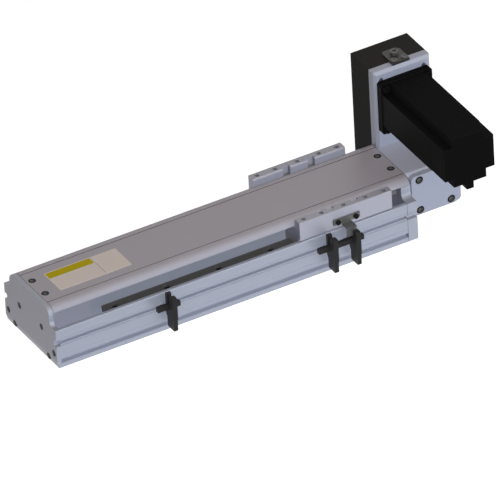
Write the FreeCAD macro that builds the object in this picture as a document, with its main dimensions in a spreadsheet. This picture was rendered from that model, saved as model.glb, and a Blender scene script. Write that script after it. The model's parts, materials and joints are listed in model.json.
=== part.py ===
import FreeCAD, Part
import math
import os
import Sketcher
from FreeCAD import Placement, Rotation, Vector

# Belt driven linear actuator. Millimetres. The origin is the centre of the base underside,
# +X points to the drive end, -Y is the side with the sensors and +Z is up.

doc = FreeCAD.newDocument("linear_actuator")
sheet = doc.addObject("Spreadsheet::Sheet", "Dims")

SIZES = {
    # body
    "body_length": 418.0,
    "body_width": 105.0,
    "rib_top": 45.2,
    "cover_top": 65.0,
    "idle_plate": 5.0,
    "drive_block": 11.0,
    "floor_top": 16.0,
    "side_wall": 9.0,
    "rib_wall": 4.0,
    "rib_low": 37.0,
    "foot_relief": 1.0,
    "foot_inner": 25.0,
    "groove_low": 5.3,
    "groove_high": 10.3,
    "groove_depth": 5.5,
    "slot_low": 26.0,
    "slot_high": 33.5,
    "slot_step": 0.8,
    "slot_mouth": 3.5,
    "slot_lip": 3.0,
    "slot_depth": 6.5,
    "line_low": 15.0,
    "line_high": 34.8,
    "line_half": 0.3,
    "line_depth": 0.5,
    "web_outer": 11.4,
    "web_wall": 2.2,
    "web_top": 38.0,
    "web_inset": 62.0,
    "chamber_half": 13.0,
    "chamber_low": 4.5,
    "chamber_high": 12.0,
    "foot_hole_x": 50.0,
    "foot_hole_inset": 16.5,
    "foot_hole_r": 2.5,
    "foot_hole_depth": 10.0,
    # end plates and cover
    "hood_inset": 12.0,
    "hood_fillet": 5.5,
    "shoulder": 9.0,
    "notch_depth": 5.0,
    "notch_round": 1.5,
    "rib_round": 1.0,
    "band_height": 7.5,
    "band_inset": 2.0,
    "cover_under": 61.3,
    "lip_low": 58.5,
    "lip_wall": 3.7,
    "lip_gap": 0.2,
    "crease_inset": 12.5,
    "crease_line": 0.5,
    "crease_depth": 0.7,
    "cover_screw_inset": 6.5,
    "cover_screw_half": 13.3,
    "ledge_half": 22.0,
    "ledge_length": 12.0,
    "ledge_low": 50.0,
    "corner_screw_inset": 6.2,
    "corner_screw_z": 15.5,
    "low_screw_inset": 18.1,
    "low_screw_z": 5.5,
    "tension_screw_y": 22.5,
    "tension_screw_z": 34.1,
    "end_thread": 12.0,
    "window_half": 11.0,
    "window_low": 19.5,
    "window_high": 59.0,
    # screws, nominal radius with a small clearance in every hole
    "hole_clear": 0.05,
    "bore_clear": 0.25,
    "small_r": 1.5,
    "small_head_r": 2.75,
    "small_head": 2.5,
    "mid_r": 2.0,
    "mid_head_r": 3.5,
    "mid_head": 4.0,
    "low_head": 2.4,
    "low_head_r": 3.8,
    "big_r": 2.5,
    "big_head_r": 4.25,
    "big_head": 4.2,
    "seat_clear": 0.2,
    # guide rails and blocks
    "rail_width": 15.0,
    "rail_height": 15.0,
    "rail_waist": 1.5,
    "rail_inset": 70.5,
    "rail_margin": 11.25,
    "rail_gap": 14.0,
    "rail_recess": 6.0,
    "rail_thread": 8.0,
    "block_web_gap": 0.6,
    "block_wall_gap": 1.5,
    "block_length": 40.0,
    "block_low": 20.0,
    "block_at": 26.0,
    "block_gap": 0.3,
    "block_hole_x": 13.0,
    "block_hole_inset": 4.0,
    "block_thread": 6.0,
    "cap_length": 3.0,
    "cap_inset": 0.5,
    # carriage at its photographed place
    "carriage_inset": 81.3,
    "ear_length": 107.0,
    "ear_inset": 11.0,
    "ear_reveal": 1.0,
    "ear_low": 46.7,
    "ear_top": 68.2,
    "ear_chamfer": 1.2,
    "ear_hole_inset": 5.8,
    "ear_hole_near": 25.4,
    "ear_hole_far": 46.3,
    "ear_hole_depth": 12.0,
    "ear_notch_x": 14.3,
    "ear_notch_width": 8.0,
    "ear_notch_depth": 5.0,
    "ear_notch_floor": 57.0,
    "ear_screw_inset": 8.9,
    "ear_screw_length": 9.0,
    "saddle_length": 101.0,
    "saddle_low": 40.0,
    "saddle_top": 53.0,
    "wing_inset": 6.0,
    "clamp_length": 60.0,
    "clamp_outer": 15.0,
    "clamp_inner": 8.5,
    "clamp_top": 60.0,
    "clamp_gap": 0.3,
    "clamp_screw_x": 22.0,
    "clamp_screw_y": 11.6,
    "jaw_half": 7.8,
    # sensor flag
    "flag_width": 30.6,
    "flag_low": 51.4,
    "flag_high": 57.8,
    "flag_sheet": 1.5,
    "flag_tongue": 11.0,
    "flag_shelf": 48.9,
    "flag_tip": 39.8,
    "flag_screw_x": 10.4,
    "flag_screw_z": 54.4,
    "flag_screw_length": 6.0,
    # slot sensors
    "sensor_idle_inset": 123.7,
    "sensor_mid_shift": 26.6,
    "sensor_drive_shift": 0.3,
    "sensor_thick": 6.0,
    "sensor_stand": 3.5,
    "sensor_depth": 12.7,
    "sensor_low": 21.0,
    "sensor_high": 47.7,
    "sensor_gap_inset": 6.3,
    "sensor_slope": 3.5,
    "sensor_gap": 4.4,
    "sensor_gap_low": 37.5,
    "sensor_bar": 26.0,
    "sensor_bar_low": 32.0,
    "sensor_bar_half": 2.5,
    "plug_low": 8.3,
    "plug_inset": 0.6,
    "bracket_width": 8.0,
    "bracket_low": 25.0,
    "bracket_high": 34.5,
    "nut_length": 10.0,
    "nut_clear": 0.3,
    # belts and pulleys
    "tooth_pitch": 5.0,
    "tooth_depth": 1.9,
    "pitch_line": 0.48,
    "belt_width": 15.0,
    "belt_thick": 1.46,
    "belt_gap": 0.3,
    "drive_teeth": 20,
    "driven_teeth": 28,
    "pulley_half": 8.4,
    "flange_wall": 0.8,
    "flange_rise": 2.0,
    "idler_inset": 33.5,
    "drive_offset": 30.5,
    "axis_z": 38.8,
    "shaft_r": 6.0,
    "axle_r": 5.0,
    "run_clear": 0.05,
    "reduction_y": 52.5,
    "bearing_r": 14.0,
    "bearing_width": 8.0,
    "small_bearing_r": 9.5,
    "small_bearing_width": 5.0,
    "ring_wall": 2.0,
    "shield_inset": 0.6,
    # idler yoke
    "yoke_inset": 8.0,
    "yoke_bar": 7.0,
    "yoke_half": 26.0,
    "yoke_end": 61.0,
    "yoke_top": 49.0,
    "cheek_outer": 15.0,
    "cheek_inner": 8.8,
    "bumper_idle_r": 3.0,
    "bumper_drive_r": 4.0,
    "bumper_idle": 12.5,
    "bumper_idle_y": 12.0,
    "bumper_idle_z": 45.0,
    "bumper_drive": 11.5,
    "bumper_drive_z": 46.5,
    # drive housing and side plate
    "housing_length": 62.0,
    "housing_front": -30.8,
    "housing_back": 24.8,
    "housing_low": 16.0,
    "housing_wall": 6.0,
    "housing_end_wall": 6.0,
    "housing_skin": 4.0,
    "housing_round": 3.0,
    "opening_r": 20.0,
    "back_opening_r": 16.0,
    "side_plate_front": -37.0,
    "side_plate_gap": 3.2,
    "side_plate_low": 15.5,
    "side_plate_top": 62.8,
    "side_plate_corner": 3.5,
    "side_plate_cut_x": 10.0,
    "side_plate_cut_z": 3.5,
    "side_plate_round": 5.5,
    "boss_gap": 0.1,
    "bolt_half": 18.0,
    "shaft_pocket_r": 8.0,
    "shaft_pocket": 2.0,
    "block_screw_z": 17.0,
    "housing_thread": 9.0,
    # motor mount plate and belt cover
    "plate_gap": 0.2,
    "plate_margin": 4.9,
    "plate_thick": 11.0,
    "plate_low": 10.0,
    "plate_rise": 10.1,
    "plate_chamfer": 3.0,
    "lip_r": 10.0,
    "box_depth": 36.0,
    "box_wall": 2.5,
    "box_post_r": 4.5,
    "box_post_inset": 6.5,
    "box_thread": 8.0,
    "nut_bar_margin": 2.25,
    "nut_bar_half_height": 4.0,
    "upper_bar_depth": 10.2,
    "lower_bar_depth": 7.7,
    "tension_shift": 9.0,
    "tension_width": 20.0,
    "tension_front": 27.8,
    "tension_back": 52.0,
    "tension_thick": 3.0,
    "tension_corner": 4.0,
    "tension_hole_x": 6.0,
    "tension_hole_y": 31.8,
    "tension_head": 1.2,
    "tension_bolt_y": 42.0,
    # motor
    "motor_shift": 0.15,
    "motor_z": 114.7,
    "flange_margin": 1.0,
    "flange_thick": 7.8,
    "flange_round": 2.0,
    "pilot_r": 25.0,
    "pilot_height": 3.0,
    "pilot_travel": 4.0,
    "motor_hole_inset": 4.25,
    "slot_travel": 6.0,
    "neck_back": 5.0,
    "motor_width": 58.0,
    "motor_notch": 10.0,
    "motor_split": -78.0,
    "motor_back": -106.0,
    "rear_step": 0.6,
    "motor_shaft_r": 7.0,
    "motor_shaft_end": 58.0,
    "power_shift": 9.0,
    "power_width": 18.0,
    "power_height": 8.0,
    "power_front": -70.0,
    "power_back": -51.0,
    "signal_shift": 2.5,
    "signal_width": 8.0,
    "signal_height": 10.0,
    "signal_front": -103.0,
    "signal_back": -89.0,
    "socket_wall": 1.5,
    "socket_depth": 5.0,
}
RAIL_HOLES = 6
FOOT_HOLES = (-3, -1, 1, 3)
SIDES = (-1, 1)
NODES = []


class Size:
    """A length that carries the spreadsheet expression it comes from."""

    def __init__(self, value, text):
        self.value = value
        self.text = text

    def join(self, sign, other, value):
        return Size(value, "(%s %s %s)" % (self.text, sign, other.text))

    def __add__(self, other):
        other = size(other)
        return self.join("+", other, self.value + other.value)

    def __sub__(self, other):
        other = size(other)
        return self.join("-", other, self.value - other.value)

    def __mul__(self, other):
        other = size(other)
        return self.join("*", other, self.value * other.value)

    def __truediv__(self, other):
        other = size(other)
        return self.join("/", other, self.value / other.value)

    def __neg__(self):
        return size(0) - self


def size(item):
    if isinstance(item, Size):
        return item
    return Size(float(item), "%.6g" % item)


class Dimensions:
    pass


D = Dimensions()
for row, (name, number) in enumerate(SIZES.items(), start=1):
    sheet.set("A%d" % row, name)
    sheet.set("B%d" % row, str(number))
    sheet.setAlias("B%d" % row, name)
    setattr(D, name, Size(float(number), "Dims." + name))
doc.recompute()


def bind(obj, prop, length):
    obj.setExpression(prop, length.text)


# Sketch and feature helpers. A profile is a list of (u, v) points in the plane's own axes:
# YZ runs along X, XZ along Y and XY along Z.


def sketch_on(body, plane, at):
    at = size(at)
    sketch = body.newObject("Sketcher::SketchObject", body.Name + "_sketch")
    support = [item for item in body.Origin.OriginFeatures if item.Role == plane + "_Plane"][0]
    sketch.AttachmentSupport = (support, [""])
    sketch.MapMode = "FlatFace"
    offset = -at if plane == "XZ" else at
    sketch.AttachmentOffset = Placement(Vector(0, 0, offset.value), Rotation())
    bind(sketch, "AttachmentOffset.Base.z", offset)
    return sketch


def tie(sketch, geometry, corner, point):
    first = sketch.ConstraintCount
    sketch.addConstraint([
        Sketcher.Constraint("DistanceX", geometry, corner, point[0].value),
        Sketcher.Constraint("DistanceY", geometry, corner, point[1].value),
    ])
    bind(sketch, "Constraints[%d]" % first, point[0])
    bind(sketch, "Constraints[%d]" % (first + 1), point[1])


def polygon(sketch, points):
    points = [(size(u), size(v)) for u, v in points]
    spots = [Vector(u.value, v.value, 0) for u, v in points]
    first = sketch.GeometryCount
    count = len(spots)
    sketch.addGeometry([Part.LineSegment(spots[i], spots[(i + 1) % count]) for i in range(count)], False)
    sketch.addConstraint([
        Sketcher.Constraint("Coincident", first + i, 2, first + (i + 1) % count, 1) for i in range(count)
    ])
    for i, point in enumerate(points):
        tie(sketch, first + i, 1, point)


def rectangle(u0, u1, v0, v1):
    return [(u0, v0), (u1, v0), (u1, v1), (u0, v1)]


def mirrored(points):
    points = [(size(u), size(v)) for u, v in points]
    return points + [(-u, v) for u, v in reversed(points)]


def circles(sketch, centres, radius):
    radius = size(radius)
    for u, v in centres:
        point = (size(u), size(v))
        index = sketch.addGeometry(
            Part.Circle(Vector(point[0].value, point[1].value, 0), Vector(0, 0, 1), radius.value), False)
        tie(sketch, index, 3, point)
        last = sketch.addConstraint(Sketcher.Constraint("Radius", index, radius.value))
        bind(sketch, "Constraints[%d]" % last, radius)


def feature(body, kind, sketch, length):
    before = body.Shape.Volume if body.Tip else 0.0
    item = body.newObject("PartDesign::" + kind, body.Name + "_" + kind.lower())
    item.Profile = sketch
    item.Length = length.value
    bind(item, "Length", length)
    doc.recompute()
    change = body.Shape.Volume - before
    if (kind == "Pad") != (change > 0):
        raise RuntimeError("%s: %s changed the volume by %.3f" % (body.Label, kind, change))


def new_body(label, keep=True):
    body = doc.addObject("PartDesign::Body", label)
    body.Label = label
    if keep:
        NODES.append(body)
    return body


def pad(body, plane, lo, hi, *outlines):
    lo, hi = size(lo), size(hi)
    sketch = sketch_on(body, plane, hi if plane == "XZ" else lo)
    for points in outlines:
        polygon(sketch, points)
    feature(body, "Pad", sketch, hi - lo)


def pad_round(body, plane, lo, hi, centres, radius):
    lo, hi = size(lo), size(hi)
    sketch = sketch_on(body, plane, hi if plane == "XZ" else lo)
    circles(sketch, centres, radius)
    feature(body, "Pad", sketch, hi - lo)


def pocket(body, plane, lo, hi, *outlines):
    lo, hi = size(lo), size(hi)
    sketch = sketch_on(body, plane, lo if plane == "XZ" else hi)
    for points in outlines:
        polygon(sketch, points)
    feature(body, "Pocket", sketch, hi - lo)


def drill(body, plane, lo, hi, centres, radius):
    lo, hi = size(lo), size(hi)
    sketch = sketch_on(body, plane, lo if plane == "XZ" else hi)
    circles(sketch, centres, radius)
    feature(body, "Pocket", sketch, hi - lo)


def edge_names(body, wanted):
    names = []
    for index, edge in enumerate(body.Shape.Edges, start=1):
        ends = [vertex.Point for vertex in edge.Vertexes]
        if len(ends) == 2 and wanted(ends):
            names.append("Edge%d" % index)
    if not names:
        raise RuntimeError("no edge found on " + body.Label)
    return names


def near(value, length):
    return abs(value - size(length).value) < 1e-4


def soften(body, kind, prop, length, wanted):
    names = edge_names(body, wanted)
    base = body.Tip
    item = body.newObject("PartDesign::" + kind, body.Name + "_" + kind.lower())
    item.Base = (base, names)
    setattr(item, prop, length.value)
    bind(item, prop, length)
    doc.recompute()


def round_corner(body, plane, corners, radius):
    first, second = {"YZ": ("y", "z"), "XZ": ("x", "z"), "XY": ("x", "y")}[plane]

    def at_corner(ends, u, v):
        return all(near(getattr(end, first), u) and near(getattr(end, second), v) for end in ends)

    soften(body, "Fillet", "Radius", radius, lambda ends: any(at_corner(ends, u, v) for u, v in corners))


# Primitive helpers

DIRECTIONS = {"X": Vector(1, 0, 0), "Y": Vector(0, 1, 0), "Z": Vector(0, 0, 1)}


def move(obj, spot):
    for axis, length in zip("xyz", spot):
        bind(obj, "Placement.Base." + axis, size(length))


def cylinder(label, axis, sign, spot, radius, length):
    item = doc.addObject("Part::Cylinder", label)
    radius, length = size(radius), size(length)
    item.Radius = radius.value
    item.Height = length.value
    bind(item, "Radius", radius)
    bind(item, "Height", length)
    turn = Rotation(Vector(0, 0, 1), DIRECTIONS[axis] * sign)
    item.Placement = Placement(Vector(*[size(part).value for part in spot]), turn)
    move(item, spot)
    return item


def group(label, items):
    compound = doc.addObject("Part::Compound", label)
    compound.Label = label
    compound.Links = items
    NODES.append(compound)
    return compound


def screw(label, axis, sign, seat, shank_r, length, head_r, head):
    """Head outside the seat, shank along sign * axis."""
    fuse = doc.addObject("Part::MultiFuse", label + "_screw")
    fuse.Shapes = [
        cylinder(label + "_head", axis, -sign, seat, head_r, head),
        cylinder(label + "_shank", axis, sign, seat, shank_r, length),
    ]
    return fuse


def small_screw(label, axis, sign, seat, length):
    return screw(label, axis, sign, seat, D.small_r, length, D.small_head_r, D.small_head)


def mid_screw(label, axis, sign, seat, length):
    return screw(label, axis, sign, seat, D.mid_r, length, D.mid_head_r, D.mid_head)


def big_screw(label, axis, sign, seat, length):
    return screw(label, axis, sign, seat, D.big_r, length, D.big_head_r, D.big_head)


def thread_hole(radius):
    return radius + D.hole_clear


def free_hole(radius):
    return radius + D.bore_clear


def head_hole(radius):
    return radius + D.seat_clear


# Places used by several parts

half_width = D.body_width / 2
idle_face = -(D.body_length / 2)
drive_face = D.body_length / 2
base_start = idle_face + D.idle_plate
base_end = drive_face - D.drive_block
wall_inner = half_width - D.side_wall
rib_inner = half_width - D.rib_wall
hood_half = half_width - D.hood_inset
crease_half = hood_half - D.crease_inset
corner_screw_y = half_width - D.corner_screw_inset
low_screw_y = half_width - D.low_screw_inset
foot_hole_y = half_width - D.foot_hole_inset
block_inner = D.web_outer + D.block_web_gap
block_width = wall_inner - D.block_wall_gap - block_inner
block_hole_y = block_width / 2 - D.block_hole_inset
rail_y = block_inner + block_width / 2
rail_start = idle_face + D.rail_inset
rail_end = base_end - D.rail_gap
rail_pitch = (rail_end - rail_start - D.rail_margin * 2) / (RAIL_HOLES - 1)
rail_holes = [rail_start + D.rail_margin + rail_pitch * i for i in range(RAIL_HOLES)]
carriage_x = drive_face - D.carriage_inset
ear_inner = half_width - D.ear_inset
ear_outer = half_width - D.ear_reveal
ear_hole_y = half_width - D.ear_hole_inset
ear_screw_y = half_width - D.ear_screw_inset
wing_end = half_width - D.wing_inset
sensor_inner = half_width + D.sensor_stand
sensor_outer = sensor_inner + D.sensor_depth
sensor_gap_at = sensor_inner + D.sensor_gap_inset
plug_inner = sensor_inner + D.sensor_slope
drive_x = drive_face + D.drive_offset
idler_x = idle_face + D.idler_inset
flange_width = D.motor_width + D.flange_margin * 2
motor_hole = D.motor_width / 2 - D.motor_hole_inset
plate_left = drive_face + D.plate_gap
plate_width = (D.housing_length + flange_width) / 2 + D.plate_margin
plate_top = D.motor_z + flange_width / 2 + D.plate_rise
motor_x = plate_left + plate_width / 2 - D.motor_shift
nut_bar_half = motor_hole + D.nut_bar_margin
tension_left = motor_x - D.tension_shift
end_screw_places = [(corner_screw_y * s, D.corner_screw_z) for s in SIDES]
end_screw_places += [(low_screw_y * s, D.low_screw_z) for s in SIDES]
tension_places = [(D.tension_screw_y * s, D.tension_screw_z) for s in SIDES]
cover_screw_x = [base_start + D.cover_screw_inset, drive_face - D.cover_screw_inset]
cover_screw_places = [(x, D.cover_screw_half * s) for x in cover_screw_x for s in SIDES]
bolt_places = [(drive_x + D.bolt_half * a, D.axis_z + D.bolt_half * b) for a in SIDES for b in SIDES]
housing_mid_front = D.housing_front + D.housing_wall / 2
housing_mid_back = D.housing_back - D.housing_wall / 2
block_screw_places = [
    (y, D.axis_z + D.block_screw_z * s) for y in (housing_mid_front, housing_mid_back) for s in SIDES
]
plate_right = plate_left + plate_width
plate_back = D.housing_back + D.plate_thick
box_back = plate_back + D.box_depth
motor_holes = [(motor_x + motor_hole * a, D.motor_z + motor_hole * b) for a in SIDES for b in SIDES]
drive_pitch_r = D.tooth_pitch * D.drive_teeth / (2 * math.pi)
belt_inner_r = drive_pitch_r - D.pitch_line + D.belt_gap

# Base extrusion

mouth_low = (D.slot_low + D.slot_high - D.slot_mouth) / 2
mouth_high = mouth_low + D.slot_mouth
web_inner = D.web_outer - D.web_wall


def score_line(height):
    return [
        (half_width, height - D.line_half),
        (half_width - D.line_depth, height),
        (half_width, height + D.line_half),
    ]


base_half = [(D.foot_inner - D.foot_relief, D.foot_relief), (D.foot_inner, 0), (half_width, 0)]
base_half += [
    (half_width, D.groove_low),
    (half_width - D.groove_depth, D.groove_low),
    (half_width - D.groove_depth, D.groove_high),
    (half_width, D.groove_high),
]
base_half += score_line(D.line_low)
base_half += [
    (half_width, D.slot_low),
    (half_width - D.slot_step, D.slot_low),
    (half_width - D.slot_step, mouth_low),
    (half_width - D.slot_lip, mouth_low),
    (half_width - D.slot_lip, D.slot_low),
    (half_width - D.slot_depth, D.slot_low),
    (half_width - D.slot_depth, D.slot_high),
    (half_width - D.slot_lip, D.slot_high),
    (half_width - D.slot_lip, mouth_high),
    (half_width - D.slot_step, mouth_high),
    (half_width - D.slot_step, D.slot_high),
    (half_width, D.slot_high),
]
base_half += score_line(D.line_high)
base_half += [
    (half_width, D.rib_top),
    (rib_inner, D.rib_top),
    (rib_inner, D.rib_low),
    (wall_inner, D.rib_low),
    (wall_inner, D.floor_top),
    (D.web_outer, D.floor_top),
    (D.web_outer, D.web_top),
    (web_inner, D.web_top),
    (web_inner, D.floor_top),
]
chamber = rectangle(-D.chamber_half, D.chamber_half, D.chamber_low, D.chamber_high)
base = new_body("base_extrusion")
pad(base, "YZ", base_start, base_end, mirrored(base_half), chamber)
round_corner(base, "YZ", [(half_width * s, D.rib_top) for s in SIDES], D.rib_round)
web_cut = rectangle(base_start - 1, idle_face + D.web_inset, -(D.web_outer + 1), D.web_outer + 1)
pocket(base, "XY", D.floor_top, D.web_top + 1, web_cut)
rail_places = [(x, rail_y * s) for x in rail_holes for s in SIDES]
drill(base, "XY", D.floor_top - D.rail_thread, D.floor_top, rail_places, thread_hole(D.mid_r))
foot_places = [(D.foot_hole_x * i, foot_hole_y * s) for i in FOOT_HOLES for s in SIDES]
drill(base, "XY", 0, D.foot_hole_depth, foot_places, D.foot_hole_r)
end_hole = thread_hole(D.mid_r)
drill(base, "YZ", base_start, base_start + D.end_thread, end_screw_places, end_hole)
drill(base, "YZ", base_end - D.end_thread, base_end, end_screw_places, end_hole)

# End plate at the idle end

block_half = [
    (half_width, 0),
    (half_width, D.slot_low),
    (half_width - D.notch_depth, D.slot_low),
    (half_width - D.notch_depth, D.slot_high),
    (half_width, D.slot_high),
    (half_width, D.rib_top),
    (hood_half, D.rib_top),
]
hood_corner = [(hood_half * s, D.rib_top) for s in SIDES]
rib_corner = [(half_width * s, D.rib_top) for s in SIDES]
notch_corner = [((half_width - D.notch_depth) * s, z) for s in SIDES for z in (D.slot_low, D.slot_high)]
top_corner = [(hood_half * s, D.cover_top) for s in SIDES]

idle_end = new_body("idle_end_plate")
pad(idle_end, "YZ", idle_face, base_start, mirrored(block_half + [(hood_half, D.cover_top)]))
round_corner(idle_end, "YZ", hood_corner, D.hood_fillet)
round_corner(idle_end, "YZ", top_corner, D.shoulder)
round_corner(idle_end, "YZ", rib_corner, D.rib_round)
round_corner(idle_end, "YZ", notch_corner, D.notch_round)
ledge = rectangle(-D.ledge_half, D.ledge_half, D.ledge_low, D.cover_under)
pad(idle_end, "YZ", base_start, base_start + D.ledge_length, ledge)
band = [(idle_face - 1, -1), (idle_face + D.band_inset, -1), (idle_face + D.band_inset, 0)]
band += [(idle_face, D.band_height), (idle_face - 1, D.band_height)]
pocket(idle_end, "XZ", -half_width - 1, half_width + 1, band)
plate_holes = end_screw_places + tension_places
screw_seat = base_start - (D.idle_plate - D.mid_head)
drill(idle_end, "YZ", idle_face - 1, base_start, plate_holes, free_hole(D.mid_r))
drill(idle_end, "YZ", idle_face - 1, screw_seat, plate_holes, head_hole(D.mid_head_r))
idle_cover_places = [(cover_screw_x[0], D.cover_screw_half * s) for s in SIDES]
cover_thread_low = D.cover_under - D.end_thread + D.mid_head
drill(idle_end, "XY", cover_thread_low, D.cover_under, idle_cover_places, thread_hole(D.mid_r))

# Block at the drive end

tongue_half = hood_half - D.lip_wall - D.lip_gap
drive_block_half = block_half + [
    (hood_half, D.lip_low - D.lip_gap),
    (tongue_half, D.lip_low - D.lip_gap),
    (tongue_half, D.cover_under),
]
drive_end = new_body("drive_end_block")
pad(drive_end, "YZ", base_end, drive_face, mirrored(drive_block_half))
round_corner(drive_end, "YZ", hood_corner, D.hood_fillet)
round_corner(drive_end, "YZ", rib_corner, D.rib_round)
round_corner(drive_end, "YZ", notch_corner, D.notch_round)
window = rectangle(-D.window_half, D.window_half, D.window_low, D.window_high)
pocket(drive_end, "YZ", base_end, drive_face, window)
drill(drive_end, "YZ", base_end, drive_face, end_screw_places, free_hole(D.mid_r))
drill(drive_end, "YZ", drive_face - D.mid_head, drive_face, end_screw_places, head_hole(D.mid_head_r))
drill(drive_end, "YZ", base_end, drive_face, block_screw_places, free_hole(D.mid_r))
drill(drive_end, "YZ", base_end, base_end + D.mid_head, block_screw_places, head_hole(D.mid_head_r))
drive_cover_places = [(cover_screw_x[1], D.cover_screw_half * s) for s in SIDES]
drill(drive_end, "XY", cover_thread_low, D.cover_under, drive_cover_places, thread_hole(D.mid_r))

screws = [mid_screw("idle_corner", "X", 1, (screw_seat, y, z), D.end_thread) for y, z in end_screw_places]
drive_seat = drive_face - D.mid_head
drive_reach = D.drive_block - D.mid_head + D.end_thread - D.mid_head
screws += [mid_screw("drive_corner", "X", -1, (drive_seat, y, z), drive_reach) for y, z in end_screw_places]
housing_reach = D.drive_block + D.housing_thread - D.mid_head - 1
screws += [
    mid_screw("housing", "X", 1, (base_end + D.mid_head, y, z), housing_reach) for y, z in block_screw_places
]
group("end_screws", screws)
tension_length = D.yoke_inset + D.yoke_bar - (D.idle_plate - 1)
group("tension_screws", [
    mid_screw("tension", "X", 1, (screw_seat, y, z), tension_length) for y, z in tension_places
])

# Top cover

lip_blank = D.cover_top - D.shoulder - 1
cover_half = [
    (hood_half - D.lip_wall, D.cover_under),
    (hood_half - D.lip_wall, lip_blank),
    (hood_half, lip_blank),
    (hood_half, D.cover_top),
    (crease_half + D.crease_line, D.cover_top),
    (crease_half, D.cover_top - D.crease_depth),
    (crease_half - D.crease_line, D.cover_top),
]
cover = new_body("top_cover")
pad(cover, "YZ", base_start, drive_face, mirrored(cover_half))
round_corner(cover, "YZ", top_corner, D.shoulder)
pocket(cover, "YZ", base_start, drive_face, rectangle(-half_width, half_width, lip_blank - 1, D.lip_low))
cover_seat = D.cover_top - D.low_head
drill(cover, "XY", D.cover_under, D.cover_top, cover_screw_places, free_hole(D.mid_r))
drill(cover, "XY", cover_seat, D.cover_top, cover_screw_places, head_hole(D.low_head_r))
cover_reach = D.end_thread - D.mid_head
group("cover_screws", [
    screw("cover", "Z", -1, (x, y, cover_seat), D.mid_r, cover_reach, D.low_head_r, D.low_head)
    for x, y in cover_screw_places
])

# Guide rails

rail_top = D.floor_top + D.rail_height
rail_half = D.rail_width / 2
rail_side = [
    (rail_half, D.floor_top),
    (rail_half, D.floor_top + D.rail_height * 0.3),
    (rail_half - D.rail_waist, D.floor_top + D.rail_height * 0.47),
    (rail_half - D.rail_waist, D.floor_top + D.rail_height * 0.63),
    (rail_half, D.floor_top + D.rail_height * 0.8),
    (rail_half, rail_top),
]
for side, label in ((-1, "guide_rail_near"), (1, "guide_rail_far")):
    rail = new_body(label)
    outline = [(u + rail_y * side, v) for u, v in mirrored(rail_side)]
    pad(rail, "YZ", rail_start, rail_end, outline)
    places = [(x, rail_y * side) for x in rail_holes]
    drill(rail, "XY", D.floor_top, rail_top, places, free_hole(D.mid_r))
    drill(rail, "XY", rail_top - D.rail_recess, rail_top, places, head_hole(D.mid_head_r))
rail_seat = rail_top - D.rail_recess
rail_reach = D.rail_height - D.rail_recess + D.rail_thread - 1
group("rail_screws", [mid_screw("rail", "Z", -1, (x, y, rail_seat), rail_reach) for x, y in rail_places])

# Idler yoke, axle and bumpers

yoke_start = idle_face + D.yoke_inset
yoke_step = yoke_start + D.yoke_bar
yoke_end = idle_face + D.yoke_end
yoke_outline = [
    (yoke_start, -D.yoke_half), (yoke_step, -D.yoke_half), (yoke_step, -D.cheek_outer),
    (yoke_end, -D.cheek_outer), (yoke_end, -D.cheek_inner), (yoke_step, -D.cheek_inner),
    (yoke_step, D.cheek_inner), (yoke_end, D.cheek_inner), (yoke_end, D.cheek_outer),
    (yoke_step, D.cheek_outer), (yoke_step, D.yoke_half), (yoke_start, D.yoke_half),
]
yoke = new_body("idler_yoke")
pad(yoke, "XY", D.floor_top, D.yoke_top, yoke_outline)
drill(yoke, "XZ", -D.cheek_outer, D.cheek_outer, [(idler_x, D.axis_z)], thread_hole(D.axle_r))
drill(yoke, "YZ", yoke_start, yoke_step, tension_places, thread_hole(D.mid_r))
axle = cylinder("idler_axle", "Y", 1, (idler_x, -D.cheek_outer, D.axis_z), D.axle_r, D.cheek_outer * 2)
NODES.append(axle)
idle_spots = [(yoke_end, D.bumper_idle_y * s, D.bumper_idle_z) for s in SIDES]
drive_spots = [(base_end, rail_y * s, D.bumper_drive_z) for s in SIDES]
bumpers = [cylinder("bumper", "X", 1, spot, D.bumper_idle_r, D.bumper_idle) for spot in idle_spots]
bumpers += [cylinder("bumper", "X", -1, spot, D.bumper_drive_r, D.bumper_drive) for spot in drive_spots]
group("bumpers", bumpers)

# Drive housing

housing_end = drive_face + D.housing_length
cavity_front = D.housing_front + D.housing_wall
cavity_back = D.housing_back - D.housing_wall
housing = new_body("drive_housing")
outline = rectangle(drive_face, housing_end, D.housing_low, D.cover_top)
pad(housing, "XZ", D.housing_front, D.housing_back, outline)
soften(housing, "Fillet", "Radius", D.housing_round,
       lambda ends: all(near(end.y, D.housing_front) and near(end.z, D.cover_top) for end in ends))
cavity = rectangle(cavity_front, cavity_back, D.housing_low + D.housing_skin, D.cover_top - D.housing_skin)
pocket(housing, "YZ", drive_face, housing_end - D.housing_end_wall, cavity)
drive_centre = [(drive_x, D.axis_z)]
drill(housing, "XZ", D.housing_front, cavity_front, drive_centre, D.opening_r)
drill(housing, "XZ", cavity_back, D.housing_back, drive_centre, D.back_opening_r)
drill(housing, "XZ", D.housing_front, cavity_front, bolt_places, thread_hole(D.big_r))
drill(housing, "XZ", cavity_back, D.housing_back, bolt_places, thread_hole(D.big_r))
drill(housing, "YZ", drive_face, drive_face + D.housing_thread, block_screw_places, thread_hole(D.mid_r))

# Bearing side plate on the housing

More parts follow.
